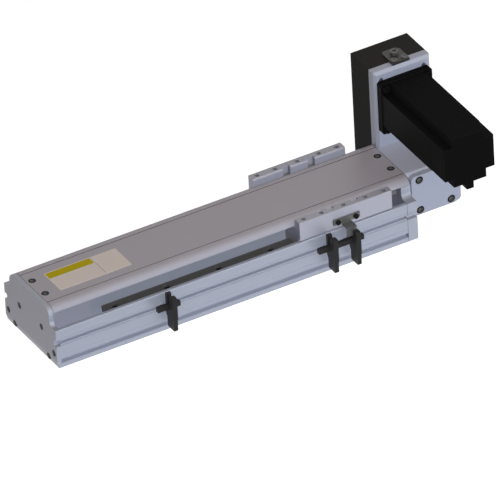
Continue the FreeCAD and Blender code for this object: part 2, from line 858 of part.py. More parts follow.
side_left = drive_face + D.side_plate_gap
side_outline = [
    (side_left, D.side_plate_low),
    (housing_end - D.side_plate_cut_x, D.side_plate_low),
    (housing_end, D.side_plate_low + D.side_plate_cut_z),
    (housing_end, D.side_plate_top),
    (side_left + D.side_plate_corner, D.side_plate_top),
    (side_left, D.side_plate_top - D.side_plate_corner),
]
side_plate = new_body("bearing_side_plate")
pad(side_plate, "XZ", D.side_plate_front, D.housing_front, side_outline)
soften(side_plate, "Fillet", "Radius", D.side_plate_round,
       lambda ends: all(near(end.y, D.side_plate_front) and near(end.x, housing_end) for end in ends))
pad_round(side_plate, "XZ", D.housing_front, cavity_front, drive_centre, D.opening_r - D.boss_gap)
bearing_front = cavity_front - D.bearing_width
drill(side_plate, "XZ", bearing_front, cavity_front, drive_centre, thread_hole(D.bearing_r))
drill(side_plate, "XZ", bearing_front - D.shaft_pocket, bearing_front, drive_centre, D.shaft_pocket_r)
bolt_seat = D.side_plate_front + D.big_head - D.seat_clear
drill(side_plate, "XZ", D.side_plate_front, D.housing_front, bolt_places, free_hole(D.big_r))
drill(side_plate, "XZ", D.side_plate_front, bolt_seat, bolt_places, head_hole(D.big_head_r))
bolt_reach = cavity_front - bolt_seat - D.seat_clear
group("side_plate_bolts", [
    big_screw("side_plate", "Y", 1, (x, bolt_seat, z), bolt_reach) for x, z in bolt_places
])

# Motor mount plate

mount = new_body("motor_mount_plate")
outline = rectangle(plate_left, plate_right, D.plate_low, plate_top)
pad(mount, "XZ", D.housing_back, plate_back, outline)


def mount_front_edge(ends):
    left = all(near(end.x, plate_left) for end in ends)
    right = all(near(end.x, plate_right) for end in ends)
    top = all(near(end.z, plate_top) for end in ends)
    return (left or right or top) and all(near(end.y, D.housing_back) for end in ends)


soften(mount, "Chamfer", "Size", D.plate_chamfer, mount_front_edge)
pilot_hole = free_hole(D.pilot_r)
for end in SIDES:
    places = [(motor_x, D.motor_z + D.pilot_travel * end)]
    drill(mount, "XZ", D.housing_back, plate_back, places, pilot_hole)
pocket(mount, "XZ", D.housing_back, plate_back, rectangle(
    motor_x - pilot_hole, motor_x + pilot_hole, D.motor_z - D.pilot_travel, D.motor_z + D.pilot_travel))
slot_r = free_hole(D.mid_r)
for end in SIDES:
    places = [(x, z + D.slot_travel * end) for x, z in motor_holes]
    drill(mount, "XZ", D.housing_back, plate_back, places, slot_r)
pocket(mount, "XZ", D.housing_back, plate_back, *[
    rectangle(x - slot_r, x + slot_r, z - D.slot_travel, z + D.slot_travel) for x, z in motor_holes])
drill(mount, "XZ", D.housing_back, plate_back, drive_centre, D.lip_r)
drill(mount, "XZ", plate_back - D.bearing_width, plate_back, drive_centre, thread_hole(D.bearing_r))
mount_seat = plate_back - D.big_head
drill(mount, "XZ", D.housing_back, plate_back, bolt_places, free_hole(D.big_r))
drill(mount, "XZ", mount_seat, plate_back, bolt_places, head_hole(D.big_head_r))
post_places = [
    (x, z)
    for x in (plate_left + D.box_post_inset, plate_right - D.box_post_inset)
    for z in (D.plate_low + D.box_post_inset, plate_top - D.box_post_inset)
]
drill(mount, "XZ", plate_back - D.box_thread, plate_back, post_places, thread_hole(D.mid_r))
bracket_places = [
    (tension_left + D.tension_width / 2 + D.tension_hole_x * s, D.tension_hole_y) for s in SIDES
]
drill(mount, "XY", plate_top - D.end_thread, plate_top, bracket_places, thread_hole(D.mid_r))
mount_reach = D.plate_thick - D.big_head + D.housing_wall - D.seat_clear
group("mount_plate_screws", [
    big_screw("mount", "Y", -1, (x, mount_seat, z), mount_reach) for x, z in bolt_places
])

# Reduction belt cover

box = new_body("belt_cover")
pad(box, "XZ", plate_back, box_back, outline)
hollow = rectangle(plate_left + D.box_wall, plate_right - D.box_wall,
                   D.plate_low + D.box_wall, plate_top - D.box_wall)
pocket(box, "XZ", plate_back, box_back - D.box_wall, hollow)
pad_round(box, "XZ", plate_back, box_back - D.box_wall, post_places, D.box_post_r)
drill(box, "XZ", plate_back, box_back, post_places, free_hole(D.mid_r))
box_seat = box_back - D.mid_head
drill(box, "XZ", box_seat, box_back, post_places, head_hole(D.mid_head_r))
bolt_x = tension_left + D.tension_width / 2
bolt_place = [(bolt_x, D.tension_bolt_y)]
drill(box, "XY", plate_top - D.box_wall, plate_top, bolt_place, free_hole(D.big_r))
box_reach = box_seat - plate_back + D.box_thread - 1
group("belt_cover_screws", [mid_screw("box", "Y", -1, (x, box_seat, z), box_reach) for x, z in post_places])

# Belt tension bracket, bolt and nut bars

tension_right = tension_left + D.tension_width
bracket_top = plate_top + D.tension_thick
bracket = new_body("tension_bracket")
pad(bracket, "XY", plate_top, bracket_top, [
    (tension_left, D.tension_front), (tension_right, D.tension_front),
    (tension_right, D.tension_back - D.tension_corner), (tension_right - D.tension_corner, D.tension_back),
    (tension_left, D.tension_back),
])
round_corner(bracket, "XY", [(tension_left, D.tension_back)], D.tension_corner)
drill(bracket, "XY", plate_top, bracket_top, bracket_places, free_hole(D.mid_r))
drill(bracket, "XY", plate_top, bracket_top, bolt_place, free_hole(D.big_r))
group("tension_bracket_screws", [
    screw("bracket", "Z", -1, (x, y, bracket_top), D.mid_r, D.end_thread, D.mid_head_r, D.tension_head)
    for x, y in bracket_places
])
upper_bar_z = D.motor_z + motor_hole
lower_bar_z = D.motor_z - motor_hole
bolt_length = bracket_top - upper_bar_z + D.nut_bar_half_height
bolt_spot = (bolt_x, D.tension_bolt_y, bracket_top)
tension_bolt = big_screw("tension_bolt", "Z", -1, bolt_spot, bolt_length)
tension_bolt.Label = "tension_bolt"
NODES.append(tension_bolt)
nut_bars = []
for label, height, depth in (
    ("upper_nut_bar", upper_bar_z, D.upper_bar_depth),
    ("lower_nut_bar", lower_bar_z, D.lower_bar_depth),
):
    bar = new_body(label, keep=False)
    nut_bars.append(bar)
    low = height - D.nut_bar_half_height
    high = height + D.nut_bar_half_height
    pad(bar, "XZ", plate_back, plate_back + depth,
        rectangle(motor_x - nut_bar_half, motor_x + nut_bar_half, low, high))
    places = [(motor_x + motor_hole * s, height) for s in SIDES]
    drill(bar, "XZ", plate_back, plate_back + depth, places, thread_hole(D.mid_r))
    if label == "upper_nut_bar":
        drill(bar, "XY", low, high, bolt_place, thread_hole(D.big_r))
group("nut_bars", nut_bars)

# Motor


def chamfered_square(width, chamfer):
    h = width / 2
    c = h - chamfer
    corners = [(-h, -c), (-c, -h), (c, -h), (h, -c), (h, c), (c, h), (-c, h), (-h, c)]
    return [(motor_x + u, D.motor_z + v) for u, v in corners]


def notched_square(width):
    """A square with a square notch at each corner, where the flange screws sit."""
    h = width / 2
    c = h - D.motor_notch
    corners = [(-h, -c), (-c, -c), (-c, -h), (c, -h), (c, -c), (h, -c)]
    corners += [(h, c), (c, c), (c, h), (-c, h), (-c, c), (-h, c)]
    return [(motor_x + u, D.motor_z + v) for u, v in corners]


motor_centre = [(motor_x, D.motor_z)]
flange_back = D.housing_back - D.flange_thick
flange = new_body("motor_flange")
pad(flange, "XZ", flange_back, D.housing_back, chamfered_square(flange_width, D.flange_round))
pad_round(flange, "XZ", D.housing_back, D.housing_back + D.pilot_height, motor_centre, D.pilot_r)
pad(flange, "XZ", D.neck_back, flange_back, notched_square(D.motor_width))
shaft_hole = D.motor_shaft_r + D.bore_clear * 2
drill(flange, "XZ", D.neck_back, D.housing_back + D.pilot_height, motor_centre, shaft_hole)
drill(flange, "XZ", flange_back, D.housing_back, motor_holes, free_hole(D.mid_r))
motor = new_body("motor_body")
pad(motor, "XZ", D.motor_split, D.neck_back, notched_square(D.motor_width))
rear = new_body("motor_rear_cover")
rear_width = D.motor_width - D.rear_step
pad(rear, "XZ", D.motor_back, D.motor_split, notched_square(rear_width))
motor_under = D.motor_z - D.motor_width / 2
rear_under = D.motor_z - rear_width / 2
power = (D.power_shift, D.power_width, motor_under, D.power_height, D.power_front, D.power_back)
signal = (D.signal_shift, D.signal_width, rear_under, D.signal_height, D.signal_front, D.signal_back)
for label, (shift, width, high, height, front, back) in (
    ("power_connector", power),
    ("signal_connector", signal),
):
    plug = new_body(label)
    left = motor_x - shift
    low = high - height
    pad(plug, "XY", low, high, rectangle(left, left + width, front, back))
    pocket(plug, "XY", low, low + D.socket_depth, rectangle(
        left + D.socket_wall, left + width - D.socket_wall, front + D.socket_wall, back - D.socket_wall))
motor_reach = D.flange_thick + D.plate_thick + D.lower_bar_depth - 1
group("motor_screws", [mid_screw("motor", "Y", 1, (x, flange_back, z), motor_reach) for x, z in motor_holes])

# Slot sensors on the near side

sensor_lefts = (idle_face + D.sensor_idle_inset, carriage_x - D.sensor_mid_shift,
                carriage_x - D.sensor_drive_shift)
gap_inner = -(sensor_gap_at - D.sensor_gap / 2)
gap_outer = -(sensor_gap_at + D.sensor_gap / 2)
sensor_outline = [
    (-sensor_outer, D.sensor_low), (-plug_inner, D.sensor_low),
    (-sensor_inner, D.sensor_low + D.sensor_slope),
    (-sensor_inner, D.sensor_high), (gap_inner, D.sensor_high),
    (gap_inner, D.sensor_gap_low), (gap_outer, D.sensor_gap_low),
    (gap_outer, D.sensor_high), (-sensor_outer, D.sensor_high),
]
plugs = []
brackets = []
nuts = []
slot_screws = []
slot_mid = (D.slot_low + D.slot_high) / 2
for label, left in zip(("sensor_idle", "sensor_mid", "sensor_drive"), sensor_lefts):
    right = left + D.sensor_thick
    centre = left + D.sensor_thick / 2
    body = new_body(label)
    pad(body, "YZ", left, right, sensor_outline)
    bar = rectangle(-sensor_gap_at - D.sensor_bar_half, -sensor_gap_at + D.sensor_bar_half,
                    D.sensor_bar_low, D.sensor_gap_low)
    pad(body, "YZ", left - D.sensor_bar / 2, left + D.sensor_bar / 2, bar)
    plug = new_body(label + "_plug", keep=False)
    pad(plug, "YZ", left + D.plug_inset, right - D.plug_inset, rectangle(
        -sensor_outer + D.plug_inset, -plug_inner, D.plug_low, D.sensor_low))
    plugs.append(plug)
    holder = new_body(label + "_bracket", keep=False)
    pad(holder, "XZ", -sensor_inner, -half_width, rectangle(
        centre - D.bracket_width / 2, centre + D.bracket_width / 2, D.bracket_low, D.bracket_high))
    drill(holder, "XZ", -sensor_inner, -half_width, [(centre, slot_mid)], free_hole(D.small_r))
    drill(holder, "XZ", -sensor_inner, -sensor_inner + D.small_head, [(centre, slot_mid)],
          head_hole(D.small_head_r))
    brackets.append(holder)
    nut = new_body(label + "_nut", keep=False)
    nut_out = -half_width + D.slot_lip
    nut_in = -half_width + D.slot_depth - D.nut_clear
    pad(nut, "XZ", nut_out, nut_in, rectangle(
        centre - D.nut_length / 2, centre + D.nut_length / 2,
        D.slot_low + D.nut_clear, D.slot_high - D.nut_clear))
    drill(nut, "XZ", nut_out, nut_in, [(centre, slot_mid)], thread_hole(D.small_r))
    nuts.append(nut)
    seat = -sensor_inner + D.small_head
    reach = nut_in - seat - D.nut_clear
    slot_screws.append(small_screw(label + "_slot", "Y", 1, (centre, seat, slot_mid), reach))
group("sensor_plugs", plugs)
group("sensor_brackets", brackets)
group("slot_nuts", nuts)
group("sensor_screws", slot_screws)

# Carriage saddle

saddle_start = carriage_x - D.saddle_length / 2
saddle_end = carriage_x + D.saddle_length / 2
saddle_half = [
    (ear_inner, D.saddle_low),
    (ear_inner, D.ear_low),
    (wing_end, D.ear_low),
    (wing_end, D.saddle_top),
]
saddle = new_body("carriage_saddle")
pad(saddle, "YZ", saddle_start, saddle_end, mirrored(saddle_half))
block_places = [(carriage_x + D.block_at * a, rail_y * b) for a in SIDES for b in SIDES]
block_screws = [
    (x + D.block_hole_x * a, y + block_hole_y * b) for x, y in block_places for a in SIDES for b in SIDES
]
block_seat = D.saddle_top - D.mid_head
drill(saddle, "XY", D.saddle_low, D.saddle_top, block_screws, free_hole(D.mid_r))
drill(saddle, "XY", block_seat, D.saddle_top, block_screws, head_hole(D.mid_head_r))
ear_screw_places = [
    (carriage_x + D.ear_notch_x * a, ear_screw_y * b) for a in SIDES for b in SIDES
]
drill(saddle, "XY", D.ear_low, D.saddle_top, ear_screw_places, thread_hole(D.small_r))
clamp_places = [
    (carriage_x + D.clamp_screw_x * a, D.clamp_screw_y * b) for a in SIDES for b in SIDES
]
drill(saddle, "XY", D.saddle_top - D.end_thread, D.saddle_top, clamp_places, thread_hole(D.mid_r))

# Side ears that carry the load

ear_start = carriage_x - D.ear_length / 2
ear_end = carriage_x + D.ear_length / 2
flag_places = [(carriage_x + D.flag_screw_x * s, D.flag_screw_z) for s in SIDES]
for side, label in ((-1, "carriage_ear_near"), (1, "carriage_ear_far")):
    ear = new_body(label)
    outline = [
        (ear_inner, D.saddle_top), (wing_end, D.saddle_top), (wing_end, D.ear_low),
        (ear_outer, D.ear_low), (ear_outer, D.ear_top),
        (ear_inner + D.ear_chamfer, D.ear_top), (ear_inner, D.ear_top - D.ear_chamfer),
    ]
    pad(ear, "YZ", ear_start, ear_end, [(u * side, v) for u, v in outline])
    notch_inner = (ear_inner - 1) * side
    notch_outer = (ear_inner + D.ear_notch_depth) * side
    pocket(ear, "XY", D.ear_notch_floor, D.ear_top, *[
        rectangle(
            carriage_x + D.ear_notch_x * a - D.ear_notch_width / 2,
            carriage_x + D.ear_notch_x * a + D.ear_notch_width / 2,
            notch_inner, notch_outer)
        for a in SIDES])
    places = [(x, y) for x, y in ear_screw_places if y.value * side > 0]
    drill(ear, "XY", D.saddle_top, D.ear_notch_floor, places, free_hole(D.small_r))
    offsets = (-D.ear_hole_far, -D.ear_hole_near, size(0), D.ear_hole_near, D.ear_hole_far)
    places = [(carriage_x + offset, ear_hole_y * side) for offset in offsets]
    drill(ear, "XY", D.ear_top - D.ear_hole_depth, D.ear_top, places, D.big_r)
    if side < 0:
        flag_hole_end = -ear_outer + D.flag_screw_length
        drill(ear, "XZ", -ear_outer, flag_hole_end, flag_places, thread_hole(D.small_r))
group("ear_screws", [
    small_screw("ear", "Z", -1, (x, y, D.ear_notch_floor), D.ear_screw_length) for x, y in ear_screw_places
])

# Guide blocks with end caps

channel = rail_half + D.block_gap
channel_top = rail_top + D.block_gap


def saddle_shape(middle, inset, play):
    h = block_width / 2 - inset
    half = [(channel + play, D.block_low + inset), (h, D.block_low + inset), (h, D.saddle_low - inset)]
    other = [(-h, D.saddle_low - inset), (-h, D.block_low + inset), (-(channel + play), D.block_low + inset)]
    roof = [(-(channel + play), channel_top + play), (channel + play, channel_top + play)]
    return [(u + middle, v) for u, v in half + other + roof]


blocks = []
caps = []
for x, y in block_places:
    body = new_body("block", keep=False)
    start = x - D.block_length / 2
    end = x + D.block_length / 2
    pad(body, "YZ", start, end, saddle_shape(y, size(0), size(0)))
    places = [(x + D.block_hole_x * a, y + block_hole_y * b) for a in SIDES for b in SIDES]
    drill(body, "XY", D.saddle_low - D.block_thread, D.saddle_low, places, thread_hole(D.mid_r))
    blocks.append(body)
    for lo in (start - D.cap_length, end):
        cap = new_body("cap", keep=False)
        pad(cap, "YZ", lo, lo + D.cap_length, saddle_shape(y, D.cap_inset, D.block_gap))
        caps.append(cap)
group("guide_blocks", blocks)
group("block_end_caps", caps)
block_reach = block_seat - D.saddle_low + D.block_thread - 1
group("block_screws", [mid_screw("block", "Z", -1, (x, y, block_seat), block_reach) for x, y in block_screws])

# Belt clamp

belt_low = D.axis_z + belt_inner_r
belt_high = belt_low + D.belt_thick
clamp_roof = belt_high + D.clamp_gap
clamp_start = carriage_x - D.clamp_length / 2
clamp_end = carriage_x + D.clamp_length / 2
clamp = new_body("belt_clamp")
pad(clamp, "YZ", clamp_start, clamp_end, [
    (D.clamp_inner, D.saddle_top), (D.clamp_outer, D.saddle_top), (D.clamp_outer, D.clamp_top),
    (-D.clamp_outer, D.clamp_top), (-D.clamp_outer, D.saddle_top), (-D.clamp_inner, D.saddle_top),
    (-D.clamp_inner, clamp_roof), (D.clamp_inner, clamp_roof),
])
clamp_seat = D.clamp_top - D.low_head
drill(clamp, "XY", D.saddle_top, D.clamp_top, clamp_places, free_hole(D.mid_r))
clamp_reach = clamp_seat - D.saddle_top + D.end_thread - 1
clamp_head_r = D.mid_head_r - D.seat_clear
drill(clamp, "XY", clamp_seat, D.clamp_top, clamp_places, D.mid_head_r)
group("clamp_screws", [
    screw("clamp", "Z", -1, (x, y, clamp_seat), D.mid_r, clamp_reach, clamp_head_r, D.low_head)
    for x, y in clamp_places
])
jaw = new_body("clamp_jaw")
pad(jaw, "YZ", clamp_start, clamp_end, rectangle(
    -D.jaw_half, D.jaw_half, D.saddle_top, belt_low - D.clamp_gap))

# Sensor flag

flag_start = carriage_x - D.flag_width / 2
flag_end = carriage_x + D.flag_width / 2
flag_front = -ear_outer - D.flag_sheet
tongue_start = carriage_x - D.flag_tongue / 2
tongue_end = carriage_x + D.flag_tongue / 2
tip_out = -sensor_gap_at - D.flag_sheet / 2
tip_in = -sensor_gap_at + D.flag_sheet / 2
flag = new_body("sensor_flag")
pad(flag, "XZ", flag_front, -ear_outer, rectangle(flag_start, flag_end, D.flag_low, D.flag_high))
pad(flag, "YZ", tongue_start, tongue_end, [
    (-ear_outer, D.flag_shelf), (-ear_outer, D.flag_low), (flag_front, D.flag_low),
    (flag_front, D.flag_shelf + D.flag_sheet), (tip_out, D.flag_shelf + D.flag_sheet),
    (tip_out, D.flag_tip), (tip_in, D.flag_tip), (tip_in, D.flag_shelf),
])
drill(flag, "XZ", flag_front, -ear_outer, flag_places, free_hole(D.small_r))
flag_reach = D.flag_screw_length + D.flag_sheet - 1
group("flag_screws", [small_screw("flag", "Y", 1, (x, flag_front, z), flag_reach) for x, z in flag_places])

# Bearings, shafts, pulleys and belts


def bearing(label, spot, outer, inner, width):
    body = new_body(label, keep=False)
    wall = D.ring_wall
    outline = [
        (inner, 0), (inner + wall, 0), (inner + wall, D.shield_inset), (outer - wall, D.shield_inset),
        (outer - wall, 0), (outer, 0), (outer, width), (outer - wall, width),
        (outer - wall, width - D.shield_inset), (inner + wall, width - D.shield_inset),
        (inner + wall, width), (inner, width),
    ]
    sketch = sketch_on(body, "XY", 0)
    polygon(sketch, outline)
    turn = body.newObject("PartDesign::Revolution", label + "_turn")
    turn.Profile = sketch
    turn.ReferenceAxis = (sketch, ["V_Axis"])
    turn.Angle = 360
    body.Placement = Placement(Vector(*[size(part).value for part in spot]), Rotation())
    move(body, spot)
    return body


def toothed_pulley(label, teeth, bore, spot):
    """Trapezoid tooth spaces on the outside, a flange at each side, a plain bore."""
    pitch_r = D.tooth_pitch.value * teeth.value / (2 * math.pi)
    tip = pitch_r - D.pitch_line.value
    root = tip - D.tooth_depth.value
    half = D.pulley_half.value
    wall = D.flange_wall.value
    count = int(teeth.value)
    points = []
    for i in range(count):
        for share, radius in ((-0.24, tip), (0.24, tip), (0.33, root), (0.67, root)):
            angle = 2 * math.pi * (i + share) / count
            points.append(Vector(radius * math.cos(angle), -half, radius * math.sin(angle)))
    points.append(points[0])
    gear = Part.Face(Part.makePolygon(points)).extrude(Vector(0, 2 * half, 0))
    rim = pitch_r + D.flange_rise.value
    for y in (-half, half - wall):
        gear = gear.fuse(Part.makeCylinder(rim, wall, Vector(0, y, 0), Vector(0, 1, 0)))
    gear = gear.cut(Part.makeCylinder(bore.value, 2 * half, Vector(0, -half, 0), Vector(0, 1, 0)))
    item = doc.addObject("Part::Feature", label)
    item.Label = label
    item.Shape = gear.removeSplitter()
    move(item, spot)
    NODES.append(item)
    return item


def belt_loop(label, low, low_r, high, high_r, middle):
    """Flat loop around two circles in the XZ plane, its inside just off the pulley teeth."""
    a = Vector(low[0].value, 0, low[1].value)
    b = Vector(high[0].value, 0, high[1].value)
    along = b - a
    span = along.Length
    along.normalize()
    across = Vector(along.z, 0, -along.x)

    def loop(extra):
        ra = low_r.value + extra
        rb = high_r.value + extra
        lean = (ra - rb) / span
        rise = math.sqrt(1 - lean * lean)
        left = along * lean - across * rise
        right = along * lean + across * rise
        edges = [
            Part.makeLine(a + left * ra, b + left * rb),
            Part.Arc(b + left * rb, b + along * rb, b + right * rb).toShape(),
            Part.makeLine(b + right * rb, a + right * ra),
            Part.Arc(a + right * ra, a - along * ra, a + left * ra).toShape(),
        ]
        return Part.Face(Part.Wire(edges))

    ring = loop(D.belt_thick.value).cut(loop(0.0))
    item = doc.addObject("Part::Feature", label)
    item.Label = label
    item.Shape = ring.extrude(Vector(0, D.belt_width.value, 0))
    move(item, (size(0), middle - D.belt_width / 2, size(0)))
    NODES.append(item)
    return item


shaft_race = D.shaft_r + D.run_clear
group("drive_bearings", [
    bearing("drive_bearing", (drive_x, place, D.axis_z), D.bearing_r, shaft_race, D.bearing_width)
    for place in (bearing_front, plate_back - D.bearing_width)
])
shaft_length = D.reduction_y + D.pulley_half - bearing_front
shaft_spot = (drive_x, bearing_front, D.axis_z)
NODES.append(cylinder("drive_shaft", "Y", 1, shaft_spot, D.shaft_r, shaft_length))
toothed_pulley("drive_pulley", D.drive_teeth, thread_hole(D.shaft_r), (drive_x, size(0), D.axis_z))
toothed_pulley("driven_pulley", D.driven_teeth, thread_hole(D.shaft_r), (drive_x, D.reduction_y, D.axis_z))
idler_bore = thread_hole(D.small_bearing_r)
toothed_pulley("idler_pulley", D.drive_teeth, idler_bore, (idler_x, size(0), D.axis_z))
axle_race = D.axle_r + D.run_clear
group("idler_bearings", [
    bearing("idler_bearing", (idler_x, place, D.axis_z), D.small_bearing_r, axle_race, D.small_bearing_width)
    for place in (-D.pulley_half, D.pulley_half - D.small_bearing_width)
])
rotor_start = D.neck_back + D.bore_clear
NODES.append(cylinder("motor_shaft", "Y", 1, (motor_x, rotor_start, D.motor_z), D.motor_shaft_r,
                      D.motor_shaft_end - rotor_start))
motor_bore = thread_hole(D.motor_shaft_r)
toothed_pulley("motor_pulley", D.drive_teeth, motor_bore, (motor_x, D.reduction_y, D.motor_z))
belt_loop("main_belt", (idler_x, D.axis_z), belt_inner_r, (drive_x, D.axis_z), belt_inner_r, size(0))
driven_inner_r = D.tooth_pitch * D.driven_teeth / (2 * math.pi) - D.pitch_line + D.belt_gap
belt_loop("reduction_belt", (drive_x, D.axis_z), driven_inner_r, (motor_x, D.motor_z), belt_inner_r,
          D.reduction_y)

# Check and write every part

doc.recompute()
for item in doc.Objects:
    if "Invalid" in item.State or "Error" in item.State:
        raise RuntimeError("%s is in state %s" % (item.Label, item.State))
os.makedirs("parts", exist_ok=True)
for item in NODES:
    shape = item.Shape
    if shape.isNull() or not shape.isValid() or not shape.Solids:
        raise RuntimeError("bad shape: " + item.Label)
    shape.exportStep("parts/%s.step" % item.Label)
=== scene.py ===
import json
import math

import bmesh
import bpy
from mathutils import Matrix, Vector


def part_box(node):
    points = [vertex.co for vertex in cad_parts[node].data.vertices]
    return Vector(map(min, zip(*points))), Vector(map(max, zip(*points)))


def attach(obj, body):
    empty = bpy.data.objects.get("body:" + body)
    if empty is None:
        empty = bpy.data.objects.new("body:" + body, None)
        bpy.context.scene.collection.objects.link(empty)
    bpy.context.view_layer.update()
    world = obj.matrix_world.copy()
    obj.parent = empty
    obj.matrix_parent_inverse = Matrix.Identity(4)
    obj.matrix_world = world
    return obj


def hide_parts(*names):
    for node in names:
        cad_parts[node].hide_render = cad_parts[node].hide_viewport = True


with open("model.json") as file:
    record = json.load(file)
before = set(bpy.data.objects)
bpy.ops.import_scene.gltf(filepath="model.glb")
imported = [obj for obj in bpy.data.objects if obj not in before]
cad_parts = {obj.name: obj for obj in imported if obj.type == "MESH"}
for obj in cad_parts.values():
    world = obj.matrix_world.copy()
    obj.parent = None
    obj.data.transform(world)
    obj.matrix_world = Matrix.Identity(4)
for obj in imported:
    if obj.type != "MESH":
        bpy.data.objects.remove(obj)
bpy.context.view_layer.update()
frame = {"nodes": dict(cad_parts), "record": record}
nodes = frame["nodes"]
record = frame["record"]

MM = 0.001
X, Y, Z = 0, 1, 2

SLOT_OF = {item["node"]: item["material_slot"] for item in record["subparts"]}
BODY_OF = {node: body for body, names in record["behaviour"]["bodies"].items() for node in names}

# Camera, with angles in degrees, distances in metres, lens and film in millimetres

AZIMUTH = -28.23
ELEVATION = 34.32
ROLL = -3.06
DISTANCE = 20.613
LENS = 1476.4
FILM_WIDTH = 36.0
FAR_CLIP = 100.0
TARGET = Vector((44.13, 0.0, 18.04)) * MM


def place_camera():
    azimuth = math.radians(AZIMUTH)
    elevation = math.radians(ELEVATION)
    level = math.cos(elevation)
    back = Vector((math.sin(azimuth) * level, -math.cos(azimuth) * level, math.sin(elevation)))
    turn = (-back).to_track_quat("-Z", "Y").to_matrix() @ Matrix.Rotation(math.radians(ROLL), 3, "Z")
    camera = bpy.data.objects.new("camera", bpy.data.cameras.new("camera"))
    bpy.context.collection.objects.link(camera)
    camera.location = TARGET + back * DISTANCE
    camera.rotation_euler = turn.to_euler()
    camera.data.lens = LENS
    camera.data.sensor_width = FILM_WIDTH
    camera.data.clip_end = FAR_CLIP
    bpy.context.scene.camera = camera


# Shader nodes


def feed(tree, value, socket):
    """Link another node's output to a socket, or set the socket to a plain value."""
    if isinstance(value, bpy.types.NodeSocket):
        tree.links.new(value, socket)
    else:
        socket.default_value = value


def add(tree, kind, **inputs):
    """A new node with some inputs fed, where an underscore stands for the space in an input's name."""
    node = tree.nodes.new(kind)
    for key, value in inputs.items():
        feed(tree, value, node.inputs[key.replace("_", " ")])
    return node


def compute(tree, operation, *values):
    node = tree.nodes.new("ShaderNodeMath")
    node.operation = operation
    for value, socket in zip(values, node.inputs):
        feed(tree, value, socket)
    return node.outputs["Value"]


def map_range(tree, value, **limits):
    return add(tree, "ShaderNodeMapRange", Value=value, **limits).outputs["Result"]


def mix(tree, kind, share, first, second):
    """Two numbers or two colours, mixed by the share of the second."""
    node = tree.nodes.new("ShaderNodeMix")
    node.data_type = kind
    feed(tree, share, node.inputs["Factor"])
    feed(tree, first, node.inputs["A"])
    feed(tree, second, node.inputs["B"])
    return node.outputs["Result"]


def axes_of(tree, kind):
    """X, Y and Z of a point: Object gives its place and Normal the way its face looks."""
    place = tree.nodes.new("ShaderNodeTexCoord")
    return add(tree, "ShaderNodeSeparateXYZ", Vector=place.outputs[kind]).outputs


def new_material(name):
    material = bpy.data.materials.new(name)
    material.use_nodes = True
    tree = material.node_tree
    return material, tree, tree.nodes["Principled BSDF"]


# Surfaces, whose edge and depth are in millimetres and whose other lengths are in metres

GRAIN_DETAIL = 5.0
GRAIN_ROUGHNESS = 0.6
DRIFT_SCALE = 14.0
DRIFT_DETAIL = 2.0
DRIFT_SHARE = 0.6
TONE_PLACES = (0.3, 0.7)
# Lift of the lightened edges, partly wear and partly painted highlight
WEAR_AND_HIGHLIGHT_LIFT = 0.02
BEVEL_SAMPLES = 4
EDGE_FLAT = 0.99
EDGE_SHARP = 0.85
HOLE_SAMPLES = 8
HOLE_OPEN = 0.65
HOLE_CLOSED = 0.3


def grain_vector(tree, stretch):
    """Object coordinates squeezed so that the grain runs long where stretch is small."""
    place = tree.nodes.new("ShaderNodeTexCoord")
    return add(tree, "ShaderNodeMapping", Vector=place.outputs["Object"], Scale=stretch).outputs["Vector"]


def edge_mask(tree, radius):
    """One along sharp edges and nought on the flats, with the rounded normal that gives it."""
    rounded = add(tree, "ShaderNodeBevel", Radius=radius * MM)
    rounded.samples = BEVEL_SAMPLES
    flat = tree.nodes.new("ShaderNodeNewGeometry")
    along = tree.nodes.new("ShaderNodeVectorMath")
    along.operation = "DOT_PRODUCT"
    tree.links.new(rounded.outputs["Normal"], along.inputs[0])
    tree.links.new(flat.outputs["Normal"], along.inputs[1])
    mask = map_range(tree, along.outputs["Value"], From_Min=EDGE_FLAT, From_Max=EDGE_SHARP)
    return mask, rounded.outputs["Normal"]


def surface(name, colour, metallic, roughness, grain=(1, 1, 1), scale=400.0, bump=0.1, depth=0.05,
            shade=0.05, specular=0.5, edge=0.4, wear_and_highlight=0.25, vary=0.06):
    """Base colour with soft tone drift and edges lightened partly as wear and partly as a painted highlight,
    roughness that follows the grain, and a fine bump.
    """
    material, tree, shader = new_material(name)
    fine = add(tree, "ShaderNodeTexNoise", Vector=grain_vector(tree, grain), Scale=scale,
               Detail=GRAIN_DETAIL, Roughness=GRAIN_ROUGHNESS).outputs["Fac"]
    drift = add(tree, "ShaderNodeTexNoise", Scale=DRIFT_SCALE, Detail=DRIFT_DETAIL).outputs["Fac"]
    tone = add(tree, "ShaderNodeValToRGB", Fac=mix(tree, "FLOAT", DRIFT_SHARE, fine, drift))
    for element, place, level in zip(tone.color_ramp.elements, TONE_PLACES, (1 - shade, 1 + shade)):
        element.color = (*[min(1.0, part * level) for part in colour], 1)
        element.position = place
    # Edges lightened partly as wear and partly as a painted highlight along them
    mask, rounded = edge_mask(tree, edge)
    rubbed_and_highlit = (*[min(1.0, part * (1 + wear_and_highlight) + WEAR_AND_HIGHLIGHT_LIFT * wear_and_highlight) for part in colour], 1)
    feed(tree, mix(tree, "RGBA", mask, tone.outputs["Color"], rubbed_and_highlit), shader.inputs["Base Color"])
    rough = map_range(tree, fine, To_Min=roughness - vary, To_Max=roughness + vary)
    feed(tree, rough, shader.inputs["Roughness"])
    relief = add(tree, "ShaderNodeBump", Strength=bump, Distance=depth * MM, Height=fine, Normal=rounded)
    feed(tree, relief.outputs["Normal"], shader.inputs["Normal"])
    shader.inputs["Metallic"].default_value = metallic
    shader.inputs["Specular IOR Level"].default_value = specular
    return material


def lay_tone(material, share, tone):
    """Mix a tone over a material's base colour, by a socket that gives the tone's share."""
    tree = material.node_tree
    base = tree.nodes["Principled BSDF"].inputs["Base Color"]
    feed(tree, mix(tree, "RGBA", share, base.links[0].from_socket, (*tone, 1)), base)


